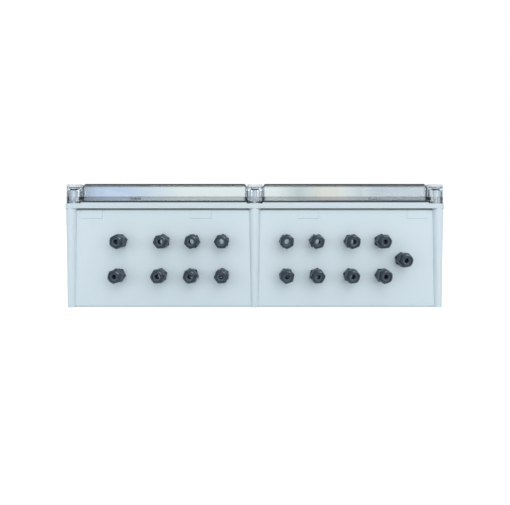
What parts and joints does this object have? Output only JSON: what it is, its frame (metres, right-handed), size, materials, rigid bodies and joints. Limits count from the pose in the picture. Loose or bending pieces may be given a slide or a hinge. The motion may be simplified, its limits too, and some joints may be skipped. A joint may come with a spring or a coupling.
{
  "type": "solar combiner box",
  "caption": "Two-bay plastic combiner box with a clear screwed lid, cable glands along one wall, and string fuses, surge arresters and breakers on rails inside.",
  "frame": {"origin": "centre of the flat back face that goes against the wall", "axes": "+Z out of the back face to the lid, +X along the long side, the cables enter the wall at -Y"},
  "size_m": [0.5684, 0.401, 0.1842],
  "materials": {
    "enclosure": "fine satin, moulded",
    "clear_lid": "clear, polished",
    "gasket": "soft, dull",
    "lid_screw": "moulded",
    "brass": "turned",
    "black_nylon": "satin, moulded",
    "seal_rubber": "soft, dull",
    "plated_steel": "zinc plated",
    "device_case": "moulded",
    "carrier": "moulded",
    "fuse": "glazed",
    "toggle": "moulded",
    "surge_module": "moulded",
    "bus_metal": "bare",
    "tinned_bar": "tin plated",
    "insulator": "moulded"
  },
  "bodies": {
    "enclosure": {"enclosure_base": "enclosure", "lid_gasket": "gasket", "thread_inserts": "brass", "mounting_plate": "plated_steel", "mounting_screws": "plated_steel", "gland_bodies": "black_nylon", "gland_seals": "seal_rubber", "gland_locknuts": "black_nylon", "din_rails": "plated_steel", "fuse_cases": "device_case", "breaker_cases": "device_case", "surge_sockets": "device_case", "bus_combs": "bus_metal", "negative_bars": "tinned_bar", "earth_bar": "tinned_bar", "bar_posts": "insulator"},
    "lid": {"lid": "clear_lid"},
    "lid_screw_1": {"lid_screw_1": "lid_screw"},
    "lid_screw_2": {"lid_screw_2": "lid_screw"},
    "lid_screw_3": {"lid_screw_3": "lid_screw"},
    "lid_screw_4": {"lid_screw_4": "lid_screw"},
    "lid_screw_5": {"lid_screw_5": "lid_screw"},
    "lid_screw_6": {"lid_screw_6": "lid_screw"},
    "gland_nut_01": {"gland_nut_01": "black_nylon"},
    "gland_nut_02": {"gland_nut_02": "black_nylon"},
    "gland_nut_03": {"gland_nut_03": "black_nylon"},
    "gland_nut_04": {"gland_nut_04": "black_nylon"},
    "gland_nut_05": {"gland_nut_05": "black_nylon"},
    "gland_nut_06": {"gland_nut_06": "black_nylon"},
    "gland_nut_07": {"gland_nut_07": "black_nylon"},
    "gland_nut_08": {"gland_nut_08": "black_nylon"},
    "gland_nut_09": {"gland_nut_09": "black_nylon"},
    "gland_nut_10": {"gland_nut_10": "black_nylon"},
    "gland_nut_11": {"gland_nut_11": "black_nylon"},
    "gland_nut_12": {"gland_nut_12": "black_nylon"},
    "gland_nut_13": {"gland_nut_13": "black_nylon"},
    "gland_nut_14": {"gland_nut_14": "black_nylon"},
    "gland_nut_15": {"gland_nut_15": "black_nylon"},
    "gland_nut_16": {"gland_nut_16": "black_nylon"},
    "gland_nut_17": {"gland_nut_17": "black_nylon"},
    "fuse_carrier_1": {"fuse_carrier_1": "carrier", "fuse_link_1": "fuse"},
    "fuse_carrier_2": {"fuse_carrier_2": "carrier", "fuse_link_2": "fuse"},
    "fuse_carrier_3": {"fuse_carrier_3": "carrier", "fuse_link_3": "fuse"},
    "fuse_carrier_4": {"fuse_carrier_4": "carrier", "fuse_link_4": "fuse"},
    "fuse_carrier_5": {"fuse_carrier_5": "carrier", "fuse_link_5": "fuse"},
    "fuse_carrier_6": {"fuse_carrier_6": "carrier", "fuse_link_6": "fuse"},
    "breaker_toggle_left": {"breaker_toggle_left": "toggle"},
    "breaker_toggle_right": {"breaker_toggle_right": "toggle"},
    "surge_module_left_1": {"surge_module_left_1": "surge_module"},
    "surge_module_left_2": {"surge_module_left_2": "surge_module"},
    "surge_module_right_1": {"surge_module_right_1": "surge_module"},
    "surge_module_right_2": {"surge_module_right_2": "surge_module"}
  },
  "joints": [
    {"name": "lid_lift", "type": "slide", "parent": "enclosure", "child": "lid", "axis": [0, 0, 1], "range_m": [0, 0.06]},
    {"name": "lid_screw_1_turn", "type": "hinge", "parent": "lid", "child": "lid_screw_1", "pos_m": [-0.2715, -0.1795, 0.17], "axis": [0, 0, 1], "continuous": true},
    {"name": "lid_screw_2_turn", "type": "hinge", "parent": "lid", "child": "lid_screw_2", "pos_m": [0, -0.1795, 0.17], "axis": [0, 0, 1], "continuous": true},
    {"name": "lid_screw_3_turn", "type": "hinge", "parent": "lid", "child": "lid_screw_3", "pos_m": [0.2715, -0.1795, 0.17], "axis": [0, 0, 1], "continuous": true},
    {"name": "lid_screw_4_turn", "type": "hinge", "parent": "lid", "child": "lid_screw_4", "pos_m": [-0.2715, 0.1795, 0.17], "axis": [0, 0, 1], "continuous": true},
    {"name": "lid_screw_5_turn", "type": "hinge", "parent": "lid", "child": "lid_screw_5", "pos_m": [0, 0.1795, 0.17], "axis": [0, 0, 1], "continuous": true},
    {"name": "lid_screw_6_turn", "type": "hinge", "parent": "lid", "child": "lid_screw_6", "pos_m": [0.2715, 0.1795, 0.17], "axis": [0, 0, 1], "continuous": true},
    {"name": "gland_nut_01_turn", "type": "hinge", "parent": "enclosure", "child": "gland_nut_01", "pos_m": [-0.2005, -0.2, 0.0987], "axis": [0, -1, 0], "continuous": true},
    {"name": "gland_nut_02_turn", "type": "hinge", "parent": "enclosure", "child": "gland_nut_02", "pos_m": [-0.137, -0.2, 0.0987], "axis": [0, -1, 0], "continuous": true},
    {"name": "gland_nut_03_turn", "type": "hinge", "parent": "enclosure", "child": "gland_nut_03", "pos_m": [-0.092, -0.2, 0.0987], "axis": [0, -1, 0], "continuous": true},
    {"name": "gland_nut_04_turn", "type": "hinge", "parent": "enclosure", "child": "gland_nut_04", "pos_m": [-0.0485, -0.2, 0.0987], "axis": [0, -1, 0], "continuous": true},
    {"name": "gland_nut_05_turn", "type": "hinge", "parent": "enclosure", "child": "gland_nut_05", "pos_m": [0.0468, -0.2, 0.0987], "axis": [0, -1, 0], "continuous": true},
    {"name": "gland_nut_06_turn", "type": "hinge", "parent": "enclosure", "child": "gland_nut_06", "pos_m": [0.0913, -0.2, 0.0987], "axis": [0, -1, 0], "continuous": true},
    {"name": "gland_nut_07_turn", "type": "hinge", "parent": "enclosure", "child": "gland_nut_07", "pos_m": [0.1432, -0.2, 0.0987], "axis": [0, -1, 0], "continuous": true},
    {"name": "gland_nut_08_turn", "type": "hinge", "parent": "enclosure", "child": "gland_nut_08", "pos_m": [0.1884, -0.2, 0.0987], "axis": [0, -1, 0], "continuous": true},
    {"name": "gland_nut_09_turn", "type": "hinge", "parent": "enclosure", "child": "gland_nut_09", "pos_m": [-0.203, -0.2, 0.048], "axis": [0, -1, 0], "continuous": true},
    {"name": "gland_nut_10_turn", "type": "hinge", "parent": "enclosure", "child": "gland_nut_10", "pos_m": [-0.141, -0.2, 0.048], "axis": [0, -1, 0], "continuous": true},
    {"name": "gland_nut_11_turn", "type": "hinge", "parent": "enclosure", "child": "gland_nut_11", "pos_m": [-0.094, -0.2, 0.048], "axis": [0, -1, 0], "continuous": true},
    {"name": "gland_nut_12_turn", "type": "hinge", "parent": "enclosure", "child": "gland_nut_12", "pos_m": [-0.0485, -0.2, 0.048], "axis": [0, -1, 0], "continuous": true},
    {"name": "gland_nut_13_turn", "type": "hinge", "parent": "enclosure", "child": "gland_nut_13", "pos_m": [0.047, -0.2, 0.048], "axis": [0, -1, 0], "continuous": true},
    {"name": "gland_nut_14_turn", "type": "hinge", "parent": "enclosure", "child": "gland_nut_14", "pos_m": [0.0918, -0.2, 0.048], "axis": [0, -1, 0], "continuous": true},
    {"name": "gland_nut_15_turn", "type": "hinge", "parent": "enclosure", "child": "gland_nut_15", "pos_m": [0.1423, -0.2, 0.048], "axis": [0, -1, 0], "continuous": true},
    {"name": "gland_nut_16_turn", "type": "hinge", "parent": "enclosure", "child": "gland_nut_16", "pos_m": [0.1895, -0.2, 0.048], "axis": [0, -1, 0], "continuous": true},
    {"name": "gland_nut_17_turn", "type": "hinge", "parent": "enclosure", "child": "gland_nut_17", "pos_m": [0.2193, -0.2, 0.0716], "axis": [0, -1, 0], "continuous": true},
    {"name": "fuse_carrier_1_swing", "type": "hinge", "parent": "enclosure", "child": "fuse_carrier_1", "pos_m": [-0.04, 0.011, 0.0655], "axis": [1, 0, 0], "range_deg": [0, 80]},
    {"name": "fuse_carrier_2_swing", "type": "hinge", "parent": "enclosure", "child": "fuse_carrier_2", "pos_m": [-0.0578, 0.011, 0.0655], "axis": [1, 0, 0], "range_deg": [0, 80]},
    {"name": "fuse_carrier_3_swing", "type": "hinge", "parent": "enclosure", "child": "fuse_carrier_3", "pos_m": [-0.0756, 0.011, 0.0655], "axis": [1, 0, 0], "range_deg": [0, 80]},
    {"name": "fuse_carrier_4_swing", "type": "hinge", "parent": "enclosure", "child": "fuse_carrier_4", "pos_m": [0.04, 0.011, 0.0655], "axis": [1, 0, 0], "range_deg": [0, 80]},
    {"name": "fuse_carrier_5_swing", "type": "hinge", "parent": "enclosure", "child": "fuse_carrier_5", "pos_m": [0.0578, 0.011, 0.0655], "axis": [1, 0, 0], "range_deg": [0, 80]},
    {"name": "fuse_carrier_6_swing", "type": "hinge", "parent": "enclosure", "child": "fuse_carrier_6", "pos_m": [0.0756, 0.011, 0.0655], "axis": [1, 0, 0], "range_deg": [0, 80]},
    {"name": "breaker_toggle_left_tip", "type": "hinge", "parent": "enclosure", "child": "breaker_toggle_left", "pos_m": [-0.168, 0.03, 0.0755], "axis": [-1, 0, 0], "range_deg": [0, 64]},
    {"name": "breaker_toggle_right_tip", "type": "hinge", "parent": "enclosure", "child": "breaker_toggle_right", "pos_m": [0.168, 0.03, 0.0755], "axis": [-1, 0, 0], "range_deg": [0, 64]},
    {"name": "surge_module_left_1_pull", "type": "slide", "parent": "enclosure", "child": "surge_module_left_1", "axis": [0, 0, 1], "range_m": [0, 0.03]},
    {"name": "surge_module_left_2_pull", "type": "slide", "parent": "enclosure", "child": "surge_module_left_2", "axis": [0, 0, 1], "range_m": [0, 0.03]},
    {"name": "surge_module_right_1_pull", "type": "slide", "parent": "enclosure", "child": "surge_module_right_1", "axis": [0, 0, 1], "range_m": [0, 0.03]},
    {"name": "surge_module_right_2_pull", "type": "slide", "parent": "enclosure", "child": "surge_module_right_2", "axis": [0, 0, 1], "range_m": [0, 0.03]}
  ]
}
